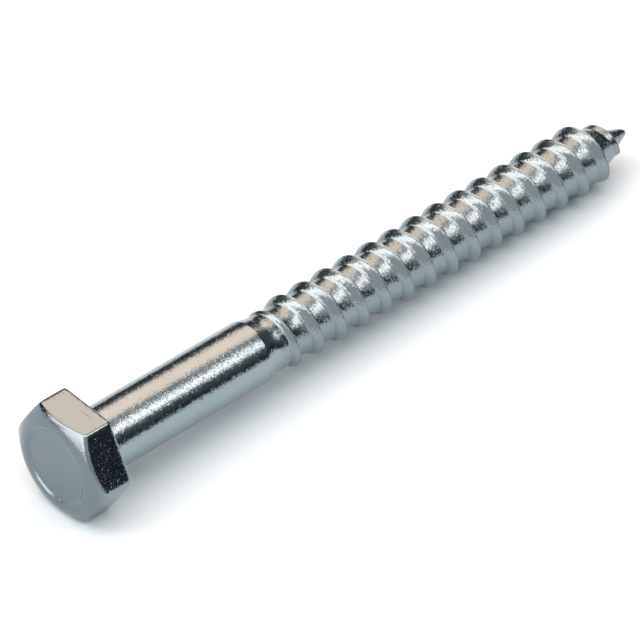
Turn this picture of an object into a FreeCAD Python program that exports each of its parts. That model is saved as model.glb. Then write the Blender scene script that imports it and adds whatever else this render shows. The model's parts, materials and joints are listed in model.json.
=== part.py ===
# Hex head wood screw, 12 x 120 mm: a forged hexagon head, a plain shank, and a coarse right-hand
# thread that ends in a gimlet point. It is one piece of steel, so it is one solid.
# Drawn along X with the bearing face of the head at the origin and the point towards +X, then
# tilted down to lie as it rests on a table: on the edge of one flat of the head and on the thread.
import FreeCAD, Part
import math
import os
import re

import Sketcher

Vector = FreeCAD.Vector

# Driving sizes in millimetres, degrees and turns.
SIZES = {
    "screwLength": 120.0,
    "acrossFlats": 19.0,
    "headHeight": 7.1,
    "headCornerRadius": 0.45,
    "topRadius": 8.3,
    "chamferAngle": 31.0,
    "dishRadius": 6.9,
    "dishDepth": 0.15,
    "dishWall": 0.25,
    "headFillet": 0.5,
    "shankDiameter": 11.3,
    "shoulderRun": 1.7,
    "shoulderRound": 0.5,
    "shoulderFillet": 1.2,
    "neckLength": 2.9,
    "coreDiameter": 9.2,
    "crestDiameter": 11.8,
    "crestWidth": 0.44,
    "flankAngle": 60.0,
    "pitch": 5.0,
    "threadTurns": 16.15,
    "firstHeight": 0.1,
    "runIn": 7.0,
    "taperLength": 8.1,
    "taperPower": 1.35,
    "tipCrestRadius": 0.95,
    "tipInset": 0.9,
    "tipAngle": -36.0,
    "pointCone": 8.95,
    "pointBlend": 1.5,
    "noseRadius": 0.35,
    "noseLength": 0.25,
    "noseFlat": 0.1,
}

# Places along the axis, and radii, that follow from the sizes.
PLACES = {
    "threadEnd": "screwLength - tipInset",
    "threadStart": "threadEnd - threadTurns * pitch",
    "fullStart": "threadStart + runIn",
    "taperStart": "threadEnd - taperLength",
    "joint": "threadStart - crestWidth",
    "shoulder": "threadStart - neckLength",
    "neckStart": "shoulder + shoulderRun",
    "noseStart": "screwLength - noseLength",
    "coneStart": "noseStart - pointCone",
    "shankRadius": "shankDiameter / 2",
    "crestRadius": "crestDiameter / 2",
    "coreRadius": "coreDiameter / 2",
    "headRadius": "acrossFlats / 2",
    "outerRadius": "acrossFlats * 0.7",
    "chamferDrop": "(outerRadius - topRadius) * tan(chamferAngle * 1deg)",
}

# Points worked out along each piece of the thread's edges.
RAIL_STEPS = 40

document = FreeCAD.newDocument("HexHeadWoodScrew")
os.makedirs("parts", exist_ok=True)


def fill_sheet():
    """Writes the sizes, and the places worked out from them, into one sheet."""
    sheet = document.addObject("Spreadsheet::Sheet", "Sizes")
    entries = [(name, str(value)) for name, value in SIZES.items()]
    entries += [(name, "=" + formula) for name, formula in PLACES.items()]
    for row, (name, text) in enumerate(entries, 1):
        sheet.set(f"A{row}", name)
        sheet.set(f"B{row}", text)
        sheet.setAlias(f"B{row}", name)
    document.recompute()
    return sheet


sheet = fill_sheet()
body = document.addObject("PartDesign::Body", "hex_wood_screw")
document.recompute()
planes = {feature.Role: feature for feature in body.Origin.OriginFeatures}


def size(name):
    """The value of a size or place in the sheet."""
    return float(sheet.get(name))


def new_sketch(name, role):
    """An empty sketch on one of the body's own planes."""
    sketch = body.newObject("Sketcher::SketchObject", name)
    sketch.AttachmentSupport = [(planes[role], "")]
    sketch.MapMode = "FlatFace"
    return sketch


def tie(sketch, kind, line, formula, value):
    """Holds one coordinate of a line's start at a formula of the sheet."""
    axis = -2 if kind == "DistanceX" else -1
    if formula == "0":
        sketch.addConstraint(Sketcher.Constraint("PointOnObject", line, 1, axis))
        return
    number = sketch.addConstraint(Sketcher.Constraint(kind, -1, 1, line, 1, value))
    sketch.setExpression(f"Constraints[{number}]", formula)


def sheet_formula(formula):
    """A formula of plain names, written with the sheet's name before each of them."""
    def with_sheet(match):
        word = match.group()
        return "Sizes." + word if word in SIZES or word in PLACES else word
    return re.sub(r"[A-Za-z]\w*", with_sheet, formula)


def outline(sketch, corners):
    """Closes a straight-sided outline through corners given as pairs of formulas."""
    formulas = [tuple(sheet_formula(text) for text in corner) for corner in corners]
    points = [[float(sketch.evalExpression(text)) for text in pair] for pair in formulas]
    count = len(points)
    for index, (x, y) in enumerate(points):
        end = points[(index + 1) % count]
        sketch.addGeometry(Part.LineSegment(Vector(x, y, 0), Vector(end[0], end[1], 0)))
    for index in range(count):
        following = (index + 1) % count
        sketch.addConstraint(Sketcher.Constraint("Coincident", index, 2, following, 1))
    for index, (point, pair) in enumerate(zip(points, formulas)):
        tie(sketch, "DistanceX", index, pair[0], point[0])
        tie(sketch, "DistanceY", index, pair[1], point[1])


def revolved(kind, name, plane, corners):
    """Turns an outline on a plane through the screw's axis about that axis, added or cut away."""
    sketch = new_sketch(name + "Outline", plane)
    outline(sketch, corners)
    feature = body.newObject("PartDesign::" + kind, name)
    feature.Profile = sketch
    feature.ReferenceAxis = (sketch, ["H_Axis"])
    feature.Angle = 360
    document.recompute()
    return feature


def rounded(name, base, edges, radius):
    """Rounds the named edges of a feature to a size in the sheet."""
    feature = body.newObject("PartDesign::Fillet", name)
    feature.Base = (base, edges)
    feature.Radius = size(radius)
    feature.setExpression("Radius", "Sizes." + radius)
    document.recompute()
    return feature


def edges_where(feature, test):
    """Names of a feature's edges that pass a test."""
    return [f"Edge{number}" for number, edge in enumerate(feature.Shape.Edges, 1) if test(edge)]


def is_ring(place, radius):
    """A test for a full circle about the axis at a place, with a radius."""
    def test(edge):
        curve = edge.Curve
        return (
            curve.TypeId == "Part::GeomCircle"
            and math.isclose(curve.Radius, size(radius), abs_tol=1e-4)
            and math.isclose(curve.Center.x, place, abs_tol=1e-4)
        )
    return test


# Thread, with the core that carries it: a tooth wound around the axis in pieces of a turn. It rises
# from the neck, runs at full height and narrows over the point. Each of its four long edges is a
# rail, and the faces are ruled from rail to rail.
def core_radius(place):
    """Radius between the teeth: a cylinder that blends into the cone of the point."""
    slope = (size("coreRadius") - size("noseRadius")) / size("pointCone")
    blend = size("pointBlend")
    past = place - size("coneStart")
    if past <= -blend:
        return size("coreRadius")
    if past >= blend:
        return size("coreRadius") - slope * past
    return size("coreRadius") - slope * (past + blend) ** 2 / (4 * blend)


def crest_radius(place):
    """Radius over the crest: a quick rise at the neck, and a curved fall over the point."""
    first = size("coreRadius") + size("firstHeight")
    full = size("crestRadius")
    if place < size("fullStart"):
        missing = (size("fullStart") - place) / size("runIn")
        return full - (full - first) * missing ** 3
    if place <= size("taperStart"):
        return full
    gone = (place - size("taperStart")) / size("taperLength")
    return full - (full - size("tipCrestRadius")) * gone ** size("taperPower")


def tooth_section(place):
    """The tooth's corners as (place, radius): head-side foot, both crest edges, point-side foot."""
    crest = crest_radius(place)
    taper = max(0.0, place - size("taperStart")) / size("taperLength")
    half_width = size("crestWidth") / 2 * (1 - taper / 2)
    steepness = math.tan(math.radians(size("flankAngle") / 2))
    corners = []
    for side in (-1, 1):
        foot = place
        for _ in range(8):
            foot = place + side * (half_width + (crest - core_radius(foot)) * steepness)
        corners.append((foot, core_radius(foot)))
        corners.append((place + side * half_width, crest))
    return [corners[0], corners[1], corners[3], corners[2]]


def thread_angle(place):
    """Angle about the axis, from straight up towards -Y, where the tooth passes a place."""
    return math.radians(size("tipAngle")) + 2 * math.pi * (place - size("threadEnd")) / size("pitch")


def around(place, radius, angle):
    """The point at a place along the axis, a radius and an angle."""
    return Vector(place, -radius * math.sin(angle), radius * math.cos(angle))


def rail(corner, start, end):
    """One long edge of the tooth as a smooth curve between two places."""
    points = []
    for step in range(RAIL_STEPS + 1):
        place = start + (end - start) * step / RAIL_STEPS
        points.append(around(*tooth_section(place)[corner], thread_angle(place)))
    curve = Part.BSplineCurve()
    curve.approximate(
        Points=points, DegMin=7, DegMax=11, Tolerance=1e-3, Continuity="C2", ParamType="Uniform"
    )
    return curve.toShape()


def ring_arc(place, radius, piece):
    """The part of a ring about the axis that faces one piece of the tooth."""
    start, end = (thread_angle(end) for end in piece)
    middle = (start + end) / 2
    arc = Part.Arc(*(around(place, radius, angle) for angle in (start, middle, end)))
    return arc.toShape()


def ruled(first, second):
    """The face ruled between two edges."""
    return Part.makeRuledSurface(first, second).Faces[0]


def flat_face(edges):
    """The flat face inside a closed line of edges."""
    return Part.Face(Part.Wire(edges))


def section_face(place):
    """The tooth's own flat end at a place."""
    corners = [around(*corner, thread_angle(place)) for corner in tooth_section(place)]
    return flat_face(Part.makePolygon(corners + corners[:1]).Edges)


def thread_pieces():
    """Places that cut the tooth where either of its ends is passed in each turn."""
    pitch = size("pitch")
    part_turn = size("threadTurns") % 1 * pitch
    cuts = [size("threadStart")]
    while cuts[-1] < size("threadEnd") - 1e-6:
        cuts.append(cuts[-1] + (part_turn if len(cuts) % 2 else pitch - part_turn))
    return list(zip(cuts, cuts[1:]))


def thread_solid():
    """Sews the tooth, the core between its turns and the nose into one solid."""
    pieces = thread_pieces()
    rails = [[rail(corner, *piece) for corner in range(4)] for piece in pieces]
    faces = [section_face(size("threadStart")), section_face(size("threadEnd"))]
    for four in rails:
        faces += [ruled(one, other) for one, other in zip(four, four[1:])]
    for four, next_turn in zip(rails, rails[2:]):
        faces.append(ruled(four[3], next_turn[0]))
    neck = [ring_arc(size("joint"), size("coreRadius"), piece) for piece in pieces[:2]]
    nose = [ring_arc(size("noseStart"), size("noseRadius"), piece) for piece in pieces[-2:]]
    tip = [ring_arc(size("screwLength"), size("noseFlat"), piece) for piece in pieces[-2:]]
    faces += [ruled(arc, four[0]) for arc, four in zip(neck, rails)]
    faces += [ruled(four[3], arc) for four, arc in zip(rails[-2:], nose)]
    faces += [ruled(arc, end) for arc, end in zip(nose, tip)]
    faces += [flat_face(neck), flat_face(tip)]
    skin = Part.makeCompound(faces)
    skin.sewShape(1e-4)
    solid = Part.Solid(skin.Shells[0])
    if solid.Volume < 0:
        solid.reverse()
    return solid


thread = document.addObject("Part::Feature", "Thread")
thread.Shape = thread_solid()
body.BaseFeature = thread
document.recompute()

# Shank, shoulder and neck, turned in one and joined to the thread's core.
revolved("Revolution", "Shank", "XY_Plane", [
    ("0", "0"),
    ("0", "shankRadius"),
    ("shoulder", "shankRadius"),
    ("neckStart", "coreRadius"),
    ("joint", "coreRadius"),
    ("joint", "0"),
])


# Head: a hexagon with one flat up and one down, chamfered at the top.
def hexagon_head():
    """Pads the hexagon from the bearing face away from the shank."""
    sketch = new_sketch("HexagonOutline", "YZ_Plane")
    radius = size("headRadius") / math.cos(math.pi / 6)
    corners = [
        Vector(radius * math.cos(side * math.pi / 3), radius * math.sin(side * math.pi / 3), 0)
        for side in range(6)
    ]
    for side in range(6):
        sketch.addGeometry(Part.LineSegment(corners[side], corners[(side + 1) % 6]))
    circle = sketch.addGeometry(Part.Circle(Vector(), Vector(0, 0, 1), size("headRadius")), True)
    for side in range(6):
        sketch.addConstraint(Sketcher.Constraint("Coincident", side, 2, (side + 1) % 6, 1))
        sketch.addConstraint(Sketcher.Constraint("Tangent", side, circle))
    for side in range(5):
        sketch.addConstraint(Sketcher.Constraint("Equal", side, side + 1))
    sketch.addConstraint(Sketcher.Constraint("Coincident", circle, 3, -1, 1))
    sketch.addConstraint(Sketcher.Constraint("Horizontal", 1))
    number = sketch.addConstraint(Sketcher.Constraint("Radius", circle, size("headRadius")))
    sketch.setExpression(f"Constraints[{number}]", "Sizes.headRadius")
    pad = body.newObject("PartDesign::Pad", "Head")
    pad.Profile = sketch
    pad.Length = size("headHeight")
    pad.setExpression("Length", "Sizes.headHeight")
    pad.Reversed = True
    document.recompute()
    return pad


head = hexagon_head()
long_edges = edges_where(head, lambda edge: math.isclose(edge.Length, size("headHeight"), abs_tol=1e-4))
rounded("HeadCorners", head, long_edges, "headCornerRadius")
revolved("Groove", "HeadChamfer", "XZ_Plane", [
    ("-headHeight", "topRadius"),
    ("chamferDrop - headHeight", "outerRadius"),
    ("-headHeight", "outerRadius"),
])
dished = revolved("Groove", "HeadDish", "XZ_Plane", [
    ("-headHeight", "0"),
    ("dishDepth - headHeight", "0"),
    ("dishDepth - headHeight", "dishRadius - dishWall"),
    ("-headHeight", "dishRadius"),
])

# Soft corners under the head and at the end of the shank.
under_head = edges_where(dished, is_ring(0, "shankRadius"))
filleted = rounded("UnderHead", dished, under_head, "headFillet")
shoulder_edge = edges_where(filleted, is_ring(size("shoulder"), "shankRadius"))
filleted = rounded("ShoulderRound", filleted, shoulder_edge, "shoulderRound")
neck_edge = edges_where(filleted, is_ring(size("neckStart"), "coreRadius"))
rounded("ShoulderFillet", filleted, neck_edge, "shoulderFillet")


def lowest_full_crest():
    """The last place where the full thread is underneath, and so touches the table."""
    turns = (thread_angle(size("taperStart")) - math.pi) / (2 * math.pi)
    return size("taperStart") - (turns - math.floor(turns)) * size("pitch")


# Rest: tilted so that the head's lower edge and the thread touch one plane, then moved so that
# the middle of the underside of its box is at the origin.
rise = size("headRadius") - size("crestRadius")
tilt = math.degrees(math.atan2(rise, lowest_full_crest()))
tilted = FreeCAD.Rotation(Vector(0, 1, 0), tilt)
body.Placement = FreeCAD.Placement(Vector(), tilted)
document.recompute()
box = body.Shape.optimalBoundingBox(False)
seat = Vector(-box.Center.x, -box.Center.y, -box.ZMin)
body.Placement = FreeCAD.Placement(seat, tilted)
document.recompute()
print("bearing face centre", seat, "tilt", tilt)

for thing in document.Objects:
    if {"Invalid", "Error"} & set(thing.State):
        raise RuntimeError(f"{thing.Label} did not build")
if body.Shape.isNull() or not body.Shape.isValid() or len(body.Shape.Solids) != 1:
    raise RuntimeError("the screw is not one valid solid")
body.Label = "hex_wood_screw"
body.Shape.exportStep("parts/hex_wood_screw.step")
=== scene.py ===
# %% [markdown]
# # A hexagon head wood screw in bright zinc
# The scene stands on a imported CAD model, which is loaded first and never edited. Bright zinc is a
# mirror, and a mirror shows every facet of a mesh and every small rounding of the real screw. So
# the visible skin is modelled here once more, finer than the CAD mesh, and takes the place of the
# CAD node in the picture.

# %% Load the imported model
import json
import math

import bmesh
import bpy
import numpy as np
from mathutils import Matrix, Vector


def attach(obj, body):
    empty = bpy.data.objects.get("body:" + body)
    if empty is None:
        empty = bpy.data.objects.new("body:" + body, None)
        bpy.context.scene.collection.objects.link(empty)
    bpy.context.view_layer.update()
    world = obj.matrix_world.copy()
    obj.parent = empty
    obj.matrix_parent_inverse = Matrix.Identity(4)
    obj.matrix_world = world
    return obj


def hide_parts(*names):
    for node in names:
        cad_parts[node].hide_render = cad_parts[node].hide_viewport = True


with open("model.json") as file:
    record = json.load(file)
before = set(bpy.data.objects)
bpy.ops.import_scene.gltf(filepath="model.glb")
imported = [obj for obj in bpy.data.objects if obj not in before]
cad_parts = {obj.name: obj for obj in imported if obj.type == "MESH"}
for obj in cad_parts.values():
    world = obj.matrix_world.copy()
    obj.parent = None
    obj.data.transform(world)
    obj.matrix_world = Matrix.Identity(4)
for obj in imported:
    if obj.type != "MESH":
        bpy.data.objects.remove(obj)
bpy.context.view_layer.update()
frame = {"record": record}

# %% [markdown]
# The screw is drawn straight along X in millimetres, with the underside of its head at the origin
# and its point towards +X. Only at the end is it scaled to metres and laid down as the CAD model
# lies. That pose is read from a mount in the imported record: the flat underside of the head, whose
# direction is the screw's own.

# %% Where the screw lies
mounts = {mount["name"]: mount for mount in frame["record"]["mounts"]}
axis = Vector(mounts["bearing_face"]["axis"]).normalized()
bearing = Vector(mounts["bearing_face"]["pos_m"])
seat = Vector((bearing.x, 0, bearing.z))
dip = math.atan2(-axis.z, axis.x)
print("seat", seat, "dip in degrees", math.degrees(dip))

# %% [markdown]
# All sizes are in millimetres, and radii are measured from the axis. The hexagon, the shank, the
# pitch, the crest and both ends of the thread are those of the CAD model. The head also gets the
# soft edges that forging leaves.

# %% Sizes of the head and the shank
FLATS, HEAD = 19.0, 7.1  # distance across the flats, height of the head
TOP, CHAMFER = 8.3, math.radians(31)  # radius of the flat top, slope of the chamfer round it
DISH, DISH_DEPTH, DISH_WALL = 7.1, 0.4, 0.9  # radius and depth of the dish, width of its wall
SOFT = 0.2  # size of the roundings along the edges
SHANK, FILLET = 5.65, 0.5  # radius of the shank and of the fillet under the head
print("head", FLATS, "by", HEAD, "shank", 2 * SHANK)

# %% [markdown]
# The tooth, the neck and the root are drawn nearer to a real rolled thread than in the solid, which
# has a plain V for a tooth and a straight root. A place on the thread's helix is given by the
# distance of the tooth's own middle from the head.

# %% Sizes of the thread and the point
CORE, CREST = 4.6, 5.9  # radius of the root and over the crest
PITCH, TURNS, THREAD_END = 5.0, 16.15, 119.1
THREAD_START = THREAD_END - TURNS * PITCH
SHOULDER, NECK, JOINT = THREAD_START - 3.6, THREAD_START - 1.15, THREAD_START - 0.44
NECK_CORE = 5.1  # radius of the neck, which eases to the root over the first turn
RUN_IN, FIRST_HEIGHT = 7.0, 0.58  # how the crest climbs from the neck
TAPER, TIP_CREST, TIP_CURVE = 9.3, 0.9, 1.25  # how the crest falls over the point
TAPER_START = THREAD_END - TAPER
CREST_WIDTH, SEAM_DEPTH = 0.44, 0.1
DOME_RUN, DOME_SLOPE, DOME_FALL = 1.5, math.radians(32), 0.5  # tooth's side towards the head
FLANK = math.radians(27)  # tooth's side towards the point
ROOT_START, ROOT_RISE, ROOT_CURVE = 0.8, 0.42, 1.5  # how the root climbs to the next tooth
NOSE, NOSE_RADIUS = 119.75, 0.35
CONE_START, BLEND = NOSE - 8.95, 1.5
print("thread from", THREAD_START, "to", THREAD_END)

# %% [markdown]
# A sheet is Blender's grid primitive. Wrapped round the axis, it can become a head, a shank or a
# thread, with rows that follow the real edges. Spinning an outline would be quicker, but a spin
# can't turn a hexagon into a round shank or let a tooth fade out. So the helper below adds a grid
# and puts each of its vertices where a table of places says, column by column round the screw.

# %% A sheet wrapped round the axis
def wrapped_sheet(name, places):
    """Adds a grid with one vertex for each entry of places[column][row] and moves it there."""
    columns, rows = places.shape[0] - 1, places.shape[1] - 1
    bpy.ops.object.select_all(action="DESELECT")
    bpy.ops.mesh.primitive_grid_add(x_subdivisions=columns, y_subdivisions=rows, size=2)
    sheet = bpy.context.object
    sheet.name = name
    mesh = sheet.data
    flat = np.empty(len(mesh.vertices) * 3)
    mesh.vertices.foreach_get("co", flat)
    flat = flat.reshape(-1, 3)
    column = np.rint((flat[:, 0] + 1) / 2 * columns).astype(int)
    row = np.rint((flat[:, 1] + 1) / 2 * rows).astype(int)
    mesh.vertices.foreach_set("co", places[column, row].ravel())
    mesh.update()
    print(name, len(mesh.vertices), "vertices")
    return sheet


def around(place, radius, angle):
    """Points at places along the axis, with radii and angles from straight up towards -Y."""
    return np.stack([place, -radius * np.sin(angle), radius * np.cos(angle)], axis=-1)


def soft_corner(before, corner, after, steps):
    """Points on a curve that rounds a corner, from before to after."""
    share = np.linspace(0, 1, steps)[:, None]
    return (1 - share) ** 2 * before + 2 * share * (1 - share) * corner + share ** 2 * after


# %% [markdown]
# Edit mode tools act on what is selected, so every step starts from a clean selection. Merging
# joins vertices that meet, such as the first and last column of a sheet that goes all the way
# round, or a whole row that has shrunk to one point.

# %% Helpers for edit mode
def in_edit(piece):
    """Opens one object in edit mode with nothing else selected."""
    bpy.ops.object.select_all(action="DESELECT")
    piece.select_set(True)
    bpy.context.view_layer.objects.active = piece
    bpy.ops.object.mode_set(mode="EDIT")
    bpy.ops.mesh.select_mode(type="VERT")


def merge(piece, distance):
    """Merges the vertices of a piece that lie closer together than a distance."""
    in_edit(piece)
    bpy.ops.mesh.select_all(action="SELECT")
    bpy.ops.mesh.remove_doubles(threshold=distance)
    bpy.ops.object.mode_set(mode="OBJECT")
    print(piece.name, "merged to", len(piece.data.vertices), "vertices")


# %% [markdown]
# The head is a hexagon. Its columns of vertices crowd together at the six corners, so that the
# roundings there are smooth without a dense mesh along the flats. The shank uses the same columns.

# %% Columns round the head
SIDES, SIDE_COLUMNS = 6, 32
SIDE_TURN = 2 * math.pi / SIDES
spread = np.sin(np.linspace(-1, 1, SIDE_COLUMNS + 1)[:-1] * math.pi / 2) * SIDE_TURN / 2
angles = np.concatenate([spread + side * SIDE_TURN for side in range(SIDES)])
angles = np.append(angles, angles[0] + 2 * math.pi)
hexagon = FLATS / 2 / np.cos((angles + SIDE_TURN / 2) % SIDE_TURN - SIDE_TURN / 2)
print(len(angles), "columns")

# %% [markdown]
# Forging leaves soft edges. A Bevel modifier could round them, but it makes uneven faces where the
# chamfer cuts the flats in a curve, and bright metal shows that. Here the rounding is worked out
# from the distances to all the head's planes at once. Their soft maximum rounds every edge where
# two of them meet, and leaves the middle of each flat plane.

# %% Soft head
HALVINGS, NEAREST, FARTHEST = 40, 0.5, 1.2  # search along each ray for the softened surface


def soft_distance(place, radius):
    """How far a point lies outside the head's planes and chamfer, with their meetings softened."""
    walls = [radius * np.cos(angles - side * SIDE_TURN) - FLATS / 2 for side in range(SIDES)]
    top = -place - HEAD
    cone = top * math.cos(CHAMFER) + (radius - TOP) * math.sin(CHAMFER)
    parts = np.stack(walls + [top, cone, place]) / SOFT
    peak = parts.max(axis=0)
    return SOFT * (peak + np.log(np.exp(parts - peak).sum(axis=0)))


def on_head(place, radius):
    """Moves points of the sharp head along rays from its middle onto the soft head."""
    low, high = np.full(radius.shape, NEAREST), np.full(radius.shape, FARTHEST)
    middle = -HEAD / 2
    for _ in range(HALVINGS):
        share = (low + high) / 2
        inside = soft_distance(middle + (place - middle) * share, radius * share) < 0
        low, high = np.where(inside, share, low), np.where(inside, high, share)
    return middle + (place - middle) * low, radius * low


def crowded(steps):
    """Shares from 0 to 1 that lie close together at both ends."""
    return (1 - np.cos(np.linspace(0, math.pi, steps))) / 2


# %% [markdown]
# The top of the head has a shallow round dish that the forging die leaves, with a sloping wall.
# Its rows are rings, close together on the wall. From the chamfer on, the rows are moved onto the
# soft head, and they crowd where two faces meet.

# %% Rows of the head
WALL_ROWS, CHAMFER_ROWS, FLAT_ROWS, UNDERSIDE_ROWS = 12, 18, 22, 16
FLOOR_RINGS, RIM_RINGS = (0.0, 1.5, 3.0, 4.5, 5.6), (7.3, 7.7)
WALL_RINGS = np.linspace(DISH - DISH_WALL, DISH + 0.1, WALL_ROWS)
BEFORE_CHAMFER = -0.15  # one row on the flat top, so that the rounding starts there
INNER, NEAR_SHANK = SHANK + 1.2, 6  # radius that the underside aims at, rows left out near it


def top_rows():
    """Rings from the middle of the top over the dish."""
    rows = []
    for radius in (*FLOOR_RINGS, *WALL_RINGS, *RIM_RINGS):
        depth = np.clip((DISH - radius) / DISH_WALL, 0, 1)
        depth = DISH_DEPTH * depth * depth * (3 - 2 * depth)
        rows.append((np.full(angles.shape, depth - HEAD), np.full(angles.shape, radius)))
    return rows


def side_rows():
    """Rows over the chamfer, down the six flats and in over the underside."""
    edge = (hexagon - TOP) * math.tan(CHAMFER) - HEAD
    rows = []
    for share in (BEFORE_CHAMFER, *crowded(CHAMFER_ROWS)[:-1]):
        radius = TOP + (hexagon - TOP) * share
        slope = (radius - TOP) * math.tan(CHAMFER) - HEAD
        rows.append(on_head(np.maximum(slope, -HEAD), radius))
    for share in crowded(FLAT_ROWS):
        rows.append(on_head(edge * (1 - share), hexagon))
    for share in 1 - crowded(UNDERSIDE_ROWS)[1:-NEAR_SHANK]:
        rows.append(on_head(np.zeros(angles.shape), INNER + (hexagon - INNER) * share))
    return rows


head_rows = top_rows() + side_rows()
print(len(head_rows), "rows on the head")

# %% [markdown]
# Under the head a small fillet runs into the plain shank. The blank is thinner where the thread is
# rolled, so a soft shoulder and a short cone lead down to the neck.

# %% Rows of the shank and the neck
FILLET_ROWS, SHANK_ROWS, SHOULDER_ROWS, NECK_ROWS = 8, 14, 5, 9
SHOULDER_BEND, NECK_BEND = 0.12, 0.6  # how far the roundings reach along the shank and the neck


def pair(place, radius):
    """A point of the outline as an array, so that it can be added and scaled."""
    return np.array((place, radius), dtype=float)


shoulder, neck = pair(SHOULDER, SHANK), pair(NECK, NECK_CORE)


def down_cone(share):
    """A point on the straight line from the shoulder to the neck."""
    return shoulder * (1 - share) + neck * share


outline = [
    *soft_corner(pair(0, SHANK + FILLET), pair(0, SHANK), pair(FILLET, SHANK), FILLET_ROWS),
    *[pair(place, SHANK) for place in np.linspace(2, SHOULDER - 1, SHANK_ROWS)],
    *soft_corner(shoulder - pair(SHOULDER_BEND, 0), shoulder, down_cone(0.05), SHOULDER_ROWS),
    *[down_cone(share) for share in (0.1, 0.2, 0.4, 0.6)],
    *soft_corner(down_cone(0.75), neck, neck + pair(NECK_BEND, 0), NECK_ROWS),
    pair(JOINT, NECK_CORE),
]
shank_rows = [(np.full(angles.shape, place), np.full(angles.shape, radius))
              for place, radius in outline]
places = [around(place, radius, angles) for place, radius in head_rows + shank_rows]
forging = wrapped_sheet("head_and_shank", np.stack(places, axis=1))
merge(forging, 1e-4)

# %% [markdown]
# Two curves carry the thread. The root is a cylinder that starts a little thick at the neck and
# blends into the cone of the point. The crest climbs quickly out of the neck and falls in a curve
# over the point. The tooth's height is what lies between them.

# %% Root and crest
RISE_LEAD, RISE_LENGTH = 0.2, 0.9  # where the tooth first rises, before and past its start
FALL_LEAD, FALL_LENGTH = 0.45, 0.5  # where it sinks away, before its end


def ease(share):
    """A smooth step from 0 to 1."""
    share = min(1.0, max(0.0, share))
    return share * share * (3 - 2 * share)


def core_radius(place):
    """Radius between the teeth: a cylinder that blends into the cone of the point."""
    slope = (CORE - NOSE_RADIUS) / (NOSE - CONE_START)
    past = place - CONE_START
    curved = CORE - slope * (past + BLEND) ** 2 / (4 * BLEND)
    radius = CORE if past <= -BLEND else CORE - slope * past if past >= BLEND else curved
    radius += (NECK_CORE - CORE) * (1 - ease((place - JOINT) / PITCH))
    return max(radius, 0.02)


def over_point(place):
    """Share of the point that a place on the helix has passed, from 0 to 1."""
    return min(1.0, max(0.0, (place - TAPER_START) / TAPER))


def crest_radius(place):
    """Radius over the crest: a quick rise at the neck, and a curved fall over the point."""
    if place < THREAD_START + RUN_IN:
        missing = min(1.0, (THREAD_START + RUN_IN - place) / RUN_IN)
        return CREST - (CREST - CORE - FIRST_HEIGHT) * missing ** 3
    return CREST - (CREST - TIP_CREST) * over_point(place) ** TIP_CURVE


def tooth_height(place):
    """Height of the tooth over the root: none before the thread's start and after its end."""
    height = max(0.0, crest_radius(place) - core_radius(place))
    rising = ease((place - THREAD_START + RISE_LEAD) / RISE_LENGTH)
    return height * rising * (1 - ease((place - THREAD_END + FALL_LEAD) / FALL_LENGTH))


print("tooth at mid length", tooth_height((THREAD_START + THREAD_END) / 2))

# %% [markdown]
# A rolled tooth isn't a plain V. Its side towards the head is a broad dome, its side towards the
# point is steeper, and the root climbs a little towards the next tooth. A Screw modifier winds one
# fixed outline. This tooth changes all the way along, so its outline is worked out for each place.
# The first step is to find where each side of the tooth stands on the sloping root.

# %% Foot of the tooth
HEAD_SIDE, POINT_SIDE = -1, 1
CREST_MEET = {HEAD_SIDE: 0.2, POINT_SIDE: 0.85}  # where a side meets the crest, in half widths
FOOT_TRIES = 8  # each try puts the foot nearer to where the slope meets the root


def half_crest(place):
    """Half the width of the crest, which narrows over the point."""
    return CREST_WIDTH / 2 * (1 - over_point(place) / 2)


def root_point(place, valley, depth):
    """A point of the root, which climbs from one tooth to the next through a valley."""
    past = max(0.0, place - valley + PITCH / 2 - ROOT_START) / (PITCH - 2 * ROOT_START)
    return pair(place, core_radius(place) + ROOT_RISE * depth * past ** ROOT_CURVE)


def foot_of(place, side, height, valley, depth):
    """The point where a side of the tooth stands on the root."""
    if side == HEAD_SIDE:
        run = CREST_MEET[side] * half_crest(place) + DOME_RUN * height / (CREST - CORE)
        return root_point(place - run, valley, depth)
    top, foot = core_radius(place) + height, place
    for _ in range(FOOT_TRIES):
        drop = max(0.0, top - root_point(foot, valley, depth)[1])
        foot = place + half_crest(place) + drop * math.tan(FLANK)
    return root_point(foot, valley, depth)


foot = foot_of(THREAD_START + PITCH, HEAD_SIDE, CREST - CORE, THREAD_START + PITCH / 2, 1.0)
print("foot of a full tooth on its head side:", foot)

# %% [markdown]
# From the middle of the valley the outline follows the root, bends up at the foot, and rounds over
# to the crest: widely on the domed side, tightly on the other. Two dies squeeze the metal up from
# both sides of the tooth, which leaves a fine seam along the crest.

# %% Outline of the tooth
FOOT_BEND = {HEAD_SIDE: 0.12, POINT_SIDE: 0.22}  # rounding at the foot of a side
FOOT_LIMIT, CREST_LIMIT = 0.45, 0.5  # the most of a side that each rounding may take
CREST_BEND = 0.35  # rounding where the side towards the point meets the crest
SEAM = ((0.0, 0.0), (0.2, 0.5), (0.38, 1.0), (0.56, 0.5))  # half widths from the middle, depth
VALLEY_STEPS, FOOT_STEPS = 7, 5
CREST_STEPS = {HEAD_SIDE: 13, POINT_SIDE: 7}


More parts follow.
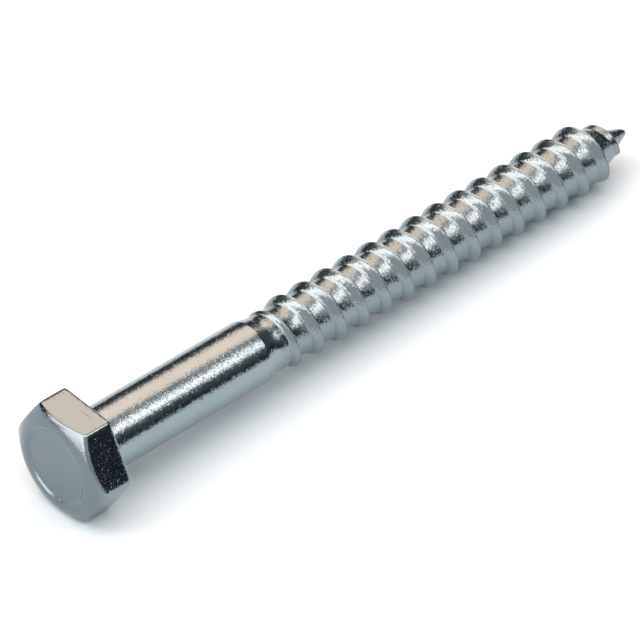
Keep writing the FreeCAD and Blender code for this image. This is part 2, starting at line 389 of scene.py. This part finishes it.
def tooth_side(place, side, height):
    """Points from the middle of the valley beside the tooth up to its crest."""
    valley = place + side * PITCH / 2
    depth = tooth_height(valley) / (CREST - CORE)
    foot = foot_of(place, side, height, valley, depth)
    top = core_radius(place) + height
    domed = side == HEAD_SIDE
    knee = top - DOME_FALL * height / (CREST - CORE) if domed else top
    slope = math.tan(DOME_SLOPE if domed else FLANK)
    edge = foot + max(0.0, knee - foot[1]) * pair(-side * slope, 1.0)
    length = max(np.linalg.norm(edge - foot), 1e-6)
    upward = (edge - foot) / length
    bend = min(FOOT_BEND[side], FOOT_LIMIT * length)
    rounding = length - bend if domed else min(CREST_BEND, CREST_LIMIT * length)
    near = foot[0] + side * bend
    points = [root_point(valley + (near - valley) * share, valley, depth)
              for share in np.linspace(0, 1, VALLEY_STEPS)]
    points += list(soft_corner(points[-1], foot, foot + upward * bend, FOOT_STEPS)[1:])
    crest = pair(place + side * CREST_MEET[side] * half_crest(place), top)
    points += list(soft_corner(edge - upward * rounding, edge, crest, CREST_STEPS[side]))
    return points


def tooth_outline(place):
    """The whole outline at one place, from valley to valley, with the seam in the crest."""
    height = tooth_height(place)
    top, depth = core_radius(place) + height, SEAM_DEPTH * ease(height)
    seam = [pair(place + half_crest(place) * share, top - depth * drop) for share, drop in SEAM]
    far = tooth_side(place, POINT_SIDE, height)
    return np.array(tooth_side(place, HEAD_SIDE, height) + seam + far[::-1])


print("points across the tooth:", len(tooth_outline(THREAD_START + PITCH)))

# %% [markdown]
# The sheet of the thread is one pitch wide and winds round the core as a ribbon does, so that each
# of its rows follows the helix. It starts before the neck and ends beyond the point, and its long
# borders meet turn by turn and are merged there.

# %% Ribbon of the thread
TURN_COLUMNS = 104
FIRST, LAST = THREAD_START - 3.0, NOSE + PITCH / 2 + 0.2  # with some to spare at both ends
END_ANGLE = math.radians(-36)  # where on the round the tooth ends

places = []
for column in range(round((LAST - FIRST) / PITCH * TURN_COLUMNS) + 1):
    place = FIRST + column * PITCH / TURN_COLUMNS
    outline = tooth_outline(place)
    angle = END_ANGLE + 2 * math.pi * (place - THREAD_END) / PITCH
    places.append(around(outline[:, 0], outline[:, 1], angle))
ribbon = wrapped_sheet("thread", np.array(places))
merge(ribbon, 1e-3)

# %% [markdown]
# The spare at both ends is cut off square with the Bisect tool, which can throw away what lies on
# one side of its plane. A narrow gap is left between the neck and the ribbon, to be bridged.

# %% Trim the ribbon
BRIDGE = 0.06


def cut(piece, place, keep_after):
    """Cuts a piece square to the axis and throws one end away."""
    in_edit(piece)
    bpy.ops.mesh.select_all(action="SELECT")
    bpy.ops.mesh.bisect(
        plane_co=(place, 0, 0), plane_no=(1, 0, 0),
        clear_inner=keep_after, clear_outer=not keep_after,
    )
    bpy.ops.object.mode_set(mode="OBJECT")


cut(ribbon, JOINT + BRIDGE, keep_after=True)
cut(ribbon, NOSE, keep_after=False)
print("thread after its cuts:", len(ribbon.data.vertices), "vertices")

# %% [markdown]
# Head, shank and thread are one piece of steel, so the two sheets are joined and the narrow gap
# between the neck and the first turn is bridged. A boolean union would do it too, but it leaves
# thin faces that a mirror shows. An open edge is an edge with one face only, and the helper
# selects those that lie near a place on the axis.

# %% Join into one piece
RIM_REACH = 0.2  # how far from its place on the axis an open edge is looked for


def boundary_near(mesh, place):
    """Selects the open edges near a place on the axis, and nothing else, and counts them."""
    bpy.ops.mesh.select_all(action="DESELECT")
    bm = bmesh.from_edit_mesh(mesh)
    found = [edge for edge in bm.edges
             if edge.is_boundary and all(abs(v.co.x - place) < RIM_REACH for v in edge.verts)]
    for edge in found:
        edge.select = True
    bmesh.update_edit_mesh(mesh)
    return len(found)


bpy.ops.object.select_all(action="DESELECT")
ribbon.select_set(True)
forging.select_set(True)
bpy.context.view_layer.objects.active = forging
bpy.ops.object.join()
screw = forging
screw.name = "zinc_wood_screw"
in_edit(screw)
bpy.ops.mesh.select_mode(type="EDGE")
print("open edges at the neck:", boundary_near(screw.data, JOINT))
bpy.ops.mesh.bridge_edge_loops()

# %% [markdown]
# The gimlet point ends in a tiny blunt nose. Its open rim is extruded twice and drawn in each time,
# and one face closes it. Then the normals are made to point outwards all over.

# %% Close the nose
NOSE_STEPS = ((0.17, 0.7), (0.08, 0.4))  # how far each step goes, and how much it draws in
print("open edges at the nose:", boundary_near(screw.data, NOSE))
for step, shrink in NOSE_STEPS:
    bpy.ops.mesh.extrude_region_move(TRANSFORM_OT_translate={"value": (step, 0, 0)})
    bpy.ops.transform.resize(value=(1, shrink, shrink), center_override=(NOSE, 0, 0))
bpy.ops.mesh.edge_face_add()
bpy.ops.mesh.select_all(action="SELECT")
bpy.ops.mesh.normals_make_consistent(inside=False)
bpy.ops.object.mode_set(mode="OBJECT")

# %% [markdown]
# A clean mesh is closed: each edge has exactly two faces, and the volume counted from the faces'
# directions is positive when they all point outwards. Both are read from the mesh before it is
# used any further.

# %% Check that the skin is closed
bm = bmesh.new()
bm.from_mesh(screw.data)
print("open edges left:", sum(not edge.is_manifold for edge in bm.edges))
print("volume in cubic millimetres:", bm.calc_volume())
bm.free()

# %% [markdown]
# The finished mesh is scaled to metres and laid down at the CAD model's own place. The place goes
# into the mesh and the object stays at the origin, so that patterns on Object coordinates keep
# their place if the model is exported. Edges sharper than the limit stay crisp when shaded.

# %% Lay it down as the CAD model lies
MM, CRISP = 0.001, math.radians(40)
screw.data.transform(
    Matrix.Translation(seat) @ Matrix.Rotation(dip, 4, "Y") @ Matrix.Scale(MM, 4)
)
screw.data.update()
bpy.ops.object.select_all(action="DESELECT")
screw.select_set(True)
bpy.context.view_layer.objects.active = screw
bpy.ops.object.shade_smooth_by_angle(angle=CRISP)
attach(screw, "root")
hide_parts("hex_wood_screw")
print("triangles", sum(len(face.vertices) - 2 for face in screw.data.polygons))

# %% [markdown]
# Shaders are written as sums. A small class wraps a node's output socket, so that an expression
# such as 1 - mask adds the Math node that works it out.

# %% Sockets as values
class Value:
    """An output socket of a shader node that can be used in an expression."""

    def __init__(self, tree, socket):
        self.tree = tree
        self.socket = socket

    def node(self, kind, settings=None, **inputs):
        """Adds any node, with settings first and then values or links for its sockets."""
        new = self.tree.nodes.new(kind)
        for name, value in (settings or {}).items():
            setattr(new, name, value)
        for name, value in inputs.items():
            numbered = name[1:].isdigit()
            socket = new.inputs[int(name[1:]) if numbered else name.replace("_", " ")]
            if isinstance(value, Value):
                self.tree.links.new(value.socket, socket)
            else:
                socket.default_value = value
        return new

    def out(self, kind, settings=None, output=0, **inputs):
        """The chosen output of a new node, as a value."""
        return Value(self.tree, self.node(kind, settings, **inputs).outputs[output])

    def maths(self, operation, *others):
        """A Math node on this value and others."""
        inputs = {f"i{place}": other for place, other in enumerate((self, *others))}
        return self.out("ShaderNodeMath", {"operation": operation}, **inputs)

    def __add__(self, other):
        return self.maths("ADD", other)

    def __sub__(self, other):
        return self.maths("SUBTRACT", other)

    def __rsub__(self, other):
        return (self * -1).maths("ADD", other)

    def __mul__(self, other):
        return self.maths("MULTIPLY", other)

    __radd__, __rmul__ = __add__, __mul__

    def vector(self, operation, other=None, scale=None, output=0):
        """A Vector Math node on this value, with another vector or a scale."""
        inputs = {} if other is None else {"i1": other}
        if scale is not None:
            inputs["Scale"] = scale
        settings = {"operation": operation}
        return self.out("ShaderNodeVectorMath", settings, output, i0=self, **inputs)

    def rise(self, low, high):
        """A smooth step from 0 at low to 1 at high."""
        return self.out("ShaderNodeMapRange", {"interpolation_type": "SMOOTHSTEP"},
                        Value=self, From_Min=low, From_Max=high)

    def band(self, low, high, soft):
        """1 between low and high, with soft edges."""
        return self.rise(low - soft, low + soft) * (1 - self.rise(high - soft, high + soft))

    def mixed(self, first, second):
        """A colour mixed from two by this value."""
        settings = {"data_type": "RGBA"}
        return self.out("ShaderNodeMix", settings, output=2, i0=self, i6=first, i7=second)


def shader_tree(owner):
    """Empties a material's or world's node tree and gives back a starting value."""
    owner.use_nodes = True
    owner.node_tree.nodes.clear()
    return Value(owner.node_tree, None)


def finish_with(start, kind, shader):
    """Links a shader to a new output node of the same tree."""
    output = start.node(kind)
    start.tree.links.new(shader.outputs[0], output.inputs[0])
    print(kind, "with", len(start.tree.nodes), "nodes")


# %% [markdown]
# Zinc doesn't look the same all over the screw: the rolled thread is a little duller, and its
# colour is darkened as painted shade for the shade between the teeth. The head is smoother, and the
# top of the head is given a darker colour. Soft masks along the screw's length tell these zones
# apart.

# %% Zones of the plating
zinc = bpy.data.materials.new("zinc_plating")
start = shader_tree(zinc)
spot = start.out("ShaderNodeTexCoord", output=3)
along = Value(start.tree, start.node("ShaderNodeSeparateXYZ", Vector=spot).outputs[0])
thread_x, top_x = seat.x + JOINT * MM, seat.x - HEAD * MM
rolled = along.rise(thread_x - 1.0 * MM, thread_x + 1.0 * MM)
forged = 1 - along.rise(top_x + 0.6 * MM, top_x + 2.2 * MM)
headed = 1 - along.rise(seat.x - 0.5 * MM, seat.x + 0.5 * MM)
print("thread from", thread_x, "head from", top_x, "to", seat.x)

# %% [markdown]
# Bright zinc is a thin layer of crystals, and each faces a slightly different way, so the edges of
# its reflections break into salt and pepper. Bump from a noise bends them in waves instead. So
# every cell of a Voronoi pattern leans by its own colour, cubed so that only a few lean far.

# %% Crystals
CRYSTALS = 6000.0  # per metre
LEAN, THREAD_LEAN, HEAD_LEAN = 0.36, 0.24, -0.12
MID_GREY = (0.5, 0.5, 0.5)
lean = start.out("ShaderNodeTexVoronoi", output=1, Vector=spot, Scale=CRYSTALS)
lean = lean.vector("SUBTRACT", MID_GREY)
strength = LEAN + rolled * THREAD_LEAN + headed * HEAD_LEAN
lean = lean.vector("SCALE", scale=lean.vector("DOT_PRODUCT", lean, output=1) * strength)
facing = start.out("ShaderNodeNewGeometry", output=1).vector("ADD", lean).vector("NORMALIZE")
grain = start.out("ShaderNodeTexNoise", Vector=spot, Scale=CRYSTALS, Detail=1.0, Roughness=0.5)
bump = start.out("ShaderNodeBump", Height=grain * (1 + forged), Strength=1.0,
                 Distance=0.01 * MM, Normal=facing)
print("crystals of", 1000 / CRYSTALS, "mm")

# %% [markdown]
# The colour is a cool grey that changes a little from place to place, as passivated zinc does. The
# sides of the head also carry a few fine darker scratches along the screw, from handling: a noise
# that is stretched along X and cut off near its top.

# %% Colour and scratches
ZINC_COLOURS = (0.262, 0.325, 0.355, 1), (0.282, 0.345, 0.374, 1)
HEAD_COLOUR, HEAD_TOP_COLOUR = (0.225, 0.285, 0.315, 1), (0.172, 0.212, 0.24, 1)
SCRATCH_COLOUR, SHADE_BLACK = (0.1, 0.115, 0.125, 1), (0.0, 0.0, 0.0, 1)
THREAD_SHADE, SCRATCH_SHOWS = 0.16, 0.45
cloud = start.out("ShaderNodeTexNoise", Vector=spot, Scale=260.0, Detail=3.0, Roughness=0.6)
patchy = cloud.rise(0.3, 0.7)
stretched = start.out("ShaderNodeMapping", Vector=spot, Scale=(2500.0, 160.0, 2500.0))
scratch = start.out("ShaderNodeTexNoise", Vector=stretched, Scale=1.0, Detail=1.0, Roughness=0.5)
scratch = scratch.rise(0.66, 0.74) * headed * (1 - forged)
# Painted shade: the thread's colour is mixed a little towards black, standing in for the shade
# between its teeth.
colour = (rolled * THREAD_SHADE).mixed(patchy.mixed(*ZINC_COLOURS), SHADE_BLACK)
colour = headed.mixed(colour, HEAD_COLOUR)
# The top of the head is mixed to a darker colour.
colour = forged.mixed(colour, HEAD_TOP_COLOUR)
colour = (scratch * SCRATCH_SHOWS).mixed(colour, SCRATCH_COLOUR)
print("nodes so far:", len(start.tree.nodes))

# %% [markdown]
# One metal shader takes the colour, the leaning normal and a low roughness, which is a little
# higher on the thread and in the scratches and lower on the head.

# %% Zinc plating
metal = start.node(
    "ShaderNodeBsdfPrincipled", Base_Color=colour, Metallic=1.0, Normal=bump,
    Roughness=0.12 + 0.04 * patchy + 0.04 * rolled - 0.04 * headed + 0.12 * scratch,
)
finish_with(start, "ShaderNodeOutputMaterial", metal)
screw.data.materials.clear()
screw.data.materials.append(zinc)

# %% [markdown]
# The floor is a plain pale sheet that keeps the soft shadow under the screw. Its colour is a
# little cool because the room's light is a little warm. It is not part of the screw.

# %% Floor
FLOOR_SIZE, FLOOR_COLOUR = 8, (0.675, 0.79, 0.85, 1)
bpy.ops.object.select_all(action="DESELECT")
bpy.ops.mesh.primitive_plane_add(size=FLOOR_SIZE)
floor = bpy.context.object
floor.name = "floor"
paper = bpy.data.materials.new("pale_floor")
start = shader_tree(paper)
sheet = start.node("ShaderNodeBsdfDiffuse", Color=FLOOR_COLOUR)
finish_with(start, "ShaderNodeOutputMaterial", sheet)
floor.data.materials.append(paper)

# %% [markdown]
# The camera looks down on the head from the front left, through a long lens, so that the far end
# of the thread is drawn almost as large as the near end. It is aimed by its own turn and rise and
# not by a target, which keeps the picture's framing apart from the viewing angle.

# %% Camera
CAMERA_TURN, CAMERA_RISE = math.radians(-42.423), math.radians(42.89)
CAMERA_STAND = Vector((-0.55627, -0.66384, 0.83168))  # from the head's underside, in metres
camera_data = bpy.data.cameras.new("camera")
camera_data.sensor_width = 36
camera_data.lens = 421.42
camera_data.clip_end = 10
camera = bpy.data.objects.new("camera", camera_data)
bpy.context.collection.objects.link(camera)
back = Vector((
    math.sin(CAMERA_TURN) * math.cos(CAMERA_RISE),
    -math.cos(CAMERA_TURN) * math.cos(CAMERA_RISE),
    math.sin(CAMERA_RISE),
))
camera.location = seat + CAMERA_STAND
camera.rotation_euler = (-back).to_track_quat("-Z", "Y").to_euler()
bpy.context.scene.camera = camera
print("camera at", camera.location)

# %% [markdown]
# A mirror has no look of its own and shows its room, so the room is what gives the zinc its bands.
# It could be built from lamps and cards, but these would get into the views from other sides, so
# the room is drawn in the world as light that depends on the direction alone. Directions are
# measured from where the photographer stands: across, away and up. The tilt counts degrees from
# the far horizon over the top to the near one, and the compass counts degrees round the room.

# %% Directions in the studio
DEGREES = 180 / math.pi
world = bpy.data.worlds.new("studio")
bpy.context.scene.world = world
start = shader_tree(world)
ray = start.out("ShaderNodeTexCoord", output=0)
split = start.node("ShaderNodeSeparateXYZ", Vector=ray)
x, y, up = (Value(start.tree, split.outputs[number]) for number in range(3))
across = x * math.cos(CAMERA_TURN) + y * math.sin(CAMERA_TURN)
away = x * -math.sin(CAMERA_TURN) + y * math.cos(CAMERA_TURN)
tilt = up.maths("ARCTAN2", away) * DEGREES
compass = (away * -1).maths("ARCTAN2", across * -1) * DEGREES
print("studio turned by", CAMERA_TURN * DEGREES, "degrees")

# %% [markdown]
# A long strip light hangs overhead and draws the white bands. Beyond it a warm card stands over
# the far wall, which the upper flat of the head and the top of the shank show in beige. A window
# at the left front lights the edges of the chamfer. Between them lie a grey gap and a plain grey
# ceiling over the photographer, and the walls are dark near the floor. Bounds on the tilt and the
# compass are in degrees, and bounds on across and up are parts of a ray's length of 1.

# %% Shapes in the studio
strip_edge = 72 + across.rise(-0.5, -0.1) * 12
strip = (tilt - strip_edge).band(0, 100, 5) * (1 - tilt.rise(103, 113))
strip = strip * (1 - across.rise(0.74, 0.86))
card = tilt.band(31, 69, 6) * across.band(-0.5, 0.42, 0.1)
window = compass.band(12, 62, 4) * up.band(0.03, 0.75, 0.04)
gap = tilt.band(68, 90, 6) * across.band(-0.3, 0.85, 0.1)
ceiling = tilt.band(108, 180, 6) * across.band(-0.5, 0.8, 0.05)
walls = up.rise(0.13, 0.35)
print("nodes so far:", len(start.tree.nodes))

# %% [markdown]
# Each shape is laid over the last with its own light, so a later one covers an earlier one.

# %% Studio light
LOW_WALL, HIGH_WALL = (0.025, 0.03, 0.04, 1), (0.11, 0.125, 0.145, 1)
light = walls.mixed(LOW_WALL, HIGH_WALL)
for shape, shine in (
    (gap, (0.55, 0.56, 0.56, 1)),
    (ceiling, (0.9, 0.86, 0.85, 1)),
    (window, (3.7, 3.3, 3.1, 1)),
    (card, (2.6, 1.88, 1.5, 1)),
    (strip, (4.1, 3.55, 3.3, 1)),
):
    light = shape.mixed(light, shine)
background = start.node("ShaderNodeBackground", Color=light, Strength=1.0)
finish_with(start, "ShaderNodeOutputWorld", background)
bpy.context.scene.view_settings.view_transform = "Standard"
